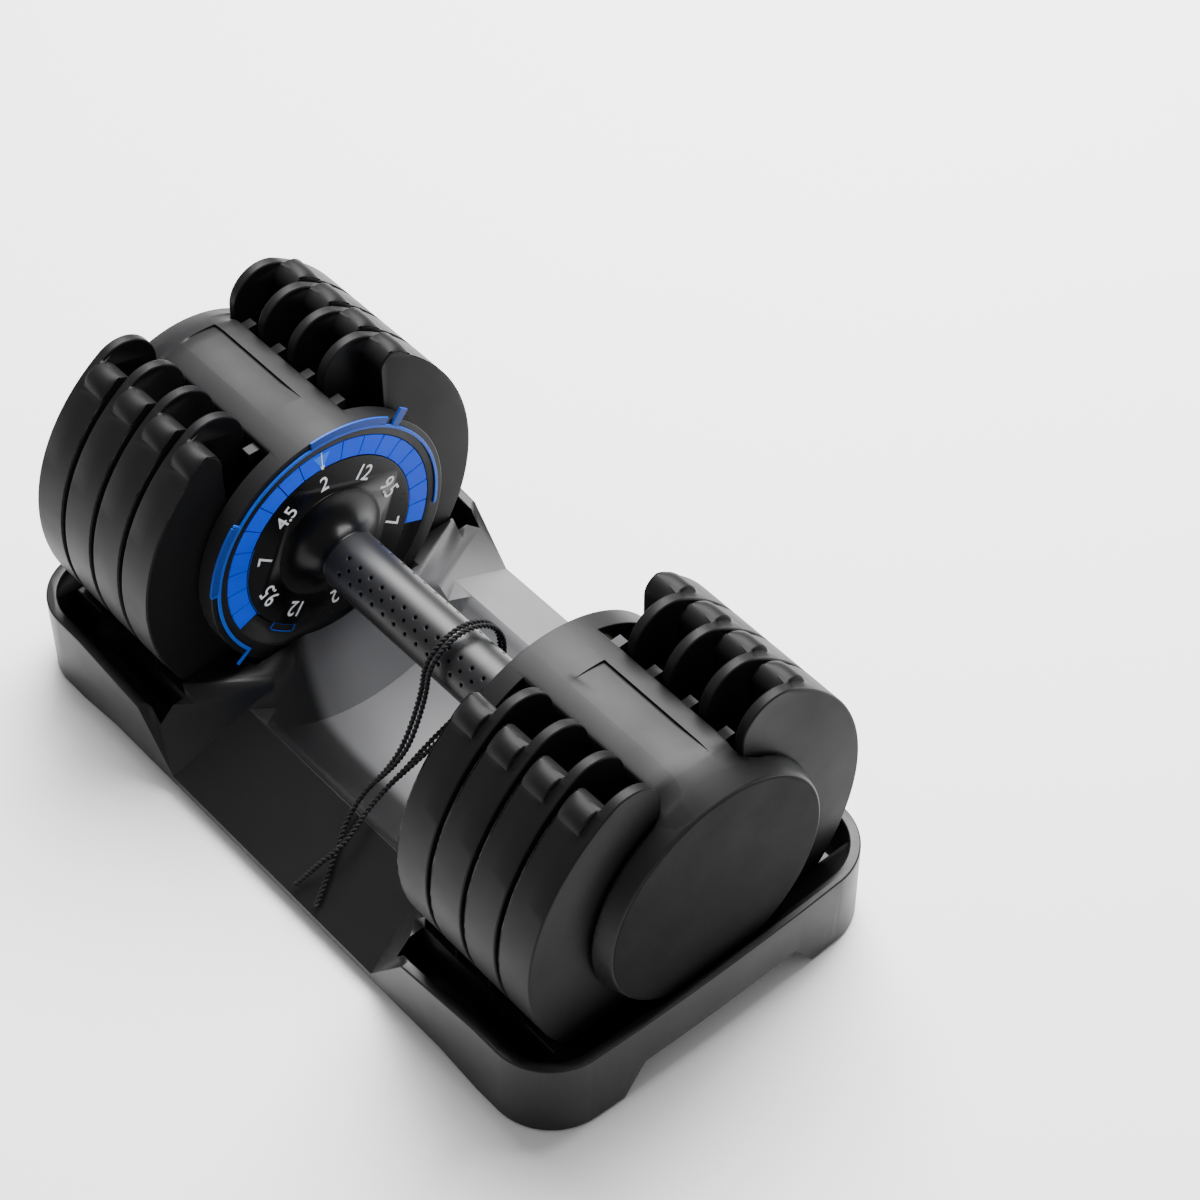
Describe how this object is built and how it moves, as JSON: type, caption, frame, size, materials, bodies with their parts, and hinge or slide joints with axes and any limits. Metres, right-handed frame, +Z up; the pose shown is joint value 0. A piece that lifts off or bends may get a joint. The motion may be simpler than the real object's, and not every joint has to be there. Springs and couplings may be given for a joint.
{
  "type": "adjustable dumbbell",
  "caption": "Adjustable dumbbell in its storage tray: twisting the handle picks which weight plates lift out with it.",
  "frame": {"origin": "on the ground under the middle of the tray", "axes": "+X along the handle, +Y across it, +Z up; the head on +X is called near"},
  "size_m": [0.376, 0.196, 0.1736],
  "materials": {
    "tray_plastic": "matte",
    "foot_rubber": "matte",
    "casing_plastic": "satin",
    "cap_plastic": "satin",
    "dial_plastic": "satin",
    "blue_plastic": "gloss",
    "plate_paint": "satin black paint over cast iron",
    "grip_coat": "satin",
    "steel": "brushed",
    "zinc_steel": "zinc plated",
    "selector_nylon": "matte",
    "bronze_bush": "plain",
    "cord_fabric": "braided"
  },
  "bodies": {
    "tray": {"tray_shell": "tray_plastic", "rubber_feet": "foot_rubber"},
    "dumbbell": {"inner_flange_near": "casing_plastic", "inner_flange_far": "casing_plastic", "saddle_cover_near": "casing_plastic", "saddle_cover_far": "casing_plastic", "end_cap_near": "cap_plastic", "end_cap_far": "cap_plastic", "scale_ring_near": "blue_plastic", "scale_ring_far": "blue_plastic", "trim_ring_near": "blue_plastic", "trim_ring_far": "blue_plastic", "bridge_beam_near": "zinc_steel", "bridge_beam_far": "zinc_steel", "end_plate_near": "zinc_steel", "end_plate_far": "zinc_steel", "click_balls": "steel", "click_springs": "steel", "flange_bushes": "bronze_bush", "end_bushes": "bronze_bush", "saddle_screws": "steel", "cap_screws": "steel", "hang_cord": "cord_fabric"},
    "handle": {"grip_sleeve": "grip_coat", "handle_shaft": "steel", "number_dial_near": "dial_plastic", "number_dial_far": "dial_plastic", "lock_wheel_near": "zinc_steel", "lock_wheel_far": "zinc_steel", "selector_near_1": "selector_nylon", "selector_near_2": "selector_nylon", "selector_near_3": "selector_nylon", "selector_near_4": "selector_nylon", "selector_far_1": "selector_nylon", "selector_far_2": "selector_nylon", "selector_far_3": "selector_nylon", "selector_far_4": "selector_nylon", "disc_spacers_near": "steel", "disc_spacers_far": "steel", "end_washers": "steel", "end_nuts": "steel"},
    "lock_near": {"lock_slider_near": "zinc_steel", "lock_spring_near": "steel"},
    "lock_far": {"lock_slider_far": "zinc_steel", "lock_spring_far": "steel"},
    "plate_near_1_body": {"plate_near_1": "plate_paint"},
    "plate_near_2_body": {"plate_near_2": "plate_paint"},
    "plate_near_3_body": {"plate_near_3": "plate_paint"},
    "plate_near_4_body": {"plate_near_4": "plate_paint"},
    "plate_far_1_body": {"plate_far_1": "plate_paint"},
    "plate_far_2_body": {"plate_far_2": "plate_paint"},
    "plate_far_3_body": {"plate_far_3": "plate_paint"},
    "plate_far_4_body": {"plate_far_4": "plate_paint"}
  },
  "joints": [
    {"name": "lift", "type": "slide", "parent": "tray", "child": "dumbbell", "axis": [0, 0, 1], "range_m": [0, 0.25]},
    {"name": "twist", "type": "hinge", "parent": "dumbbell", "child": "handle", "pos_m": [0, 0, 0.094], "axis": [1, 0, 0], "range_deg": [-180, 180]},
    {"name": "lock_near_slide", "type": "slide", "parent": "dumbbell", "child": "lock_near", "axis": [0, 0, -1], "range_m": [0, 0.006], "deforming": ["lock_spring_near"]},
    {"name": "lock_far_slide", "type": "slide", "parent": "dumbbell", "child": "lock_far", "axis": [0, 0, -1], "range_m": [0, 0.006], "deforming": ["lock_spring_far"]},
    {"name": "plate_near_1_slide", "type": "slide", "parent": "dumbbell", "child": "plate_near_1_body", "axis": [0, 0, -1], "range_m": [0, 0.25]},
    {"name": "plate_near_2_slide", "type": "slide", "parent": "dumbbell", "child": "plate_near_2_body", "axis": [0, 0, -1], "range_m": [0, 0.25]},
    {"name": "plate_near_3_slide", "type": "slide", "parent": "dumbbell", "child": "plate_near_3_body", "axis": [0, 0, -1], "range_m": [0, 0.25]},
    {"name": "plate_near_4_slide", "type": "slide", "parent": "dumbbell", "child": "plate_near_4_body", "axis": [0, 0, -1], "range_m": [0, 0.25]},
    {"name": "plate_far_1_slide", "type": "slide", "parent": "dumbbell", "child": "plate_far_1_body", "axis": [0, 0, -1], "range_m": [0, 0.25]},
    {"name": "plate_far_2_slide", "type": "slide", "parent": "dumbbell", "child": "plate_far_2_body", "axis": [0, 0, -1], "range_m": [0, 0.25]},
    {"name": "plate_far_3_slide", "type": "slide", "parent": "dumbbell", "child": "plate_far_3_body", "axis": [0, 0, -1], "range_m": [0, 0.25]},
    {"name": "plate_far_4_slide", "type": "slide", "parent": "dumbbell", "child": "plate_far_4_body", "axis": [0, 0, -1], "range_m": [0, 0.25]}
  ],
  "couplings": [
    {"joint": "lock_near_slide", "follows": "lift", "ratio": 0.024},
    {"joint": "lock_far_slide", "follows": "lift", "ratio": 0.024},
    {"joint": "plate_near_1_slide", "follows": "lift", "ratio": 1},
    {"joint": "plate_near_2_slide", "follows": "lift", "ratio": 1},
    {"joint": "plate_near_3_slide", "follows": "lift", "ratio": 1},
    {"joint": "plate_near_4_slide", "follows": "lift", "ratio": 1},
    {"joint": "plate_far_1_slide", "follows": "lift", "ratio": 1},
    {"joint": "plate_far_2_slide", "follows": "lift", "ratio": 1},
    {"joint": "plate_far_3_slide", "follows": "lift", "ratio": 1},
    {"joint": "plate_far_4_slide", "follows": "lift", "ratio": 1}
  ]
}
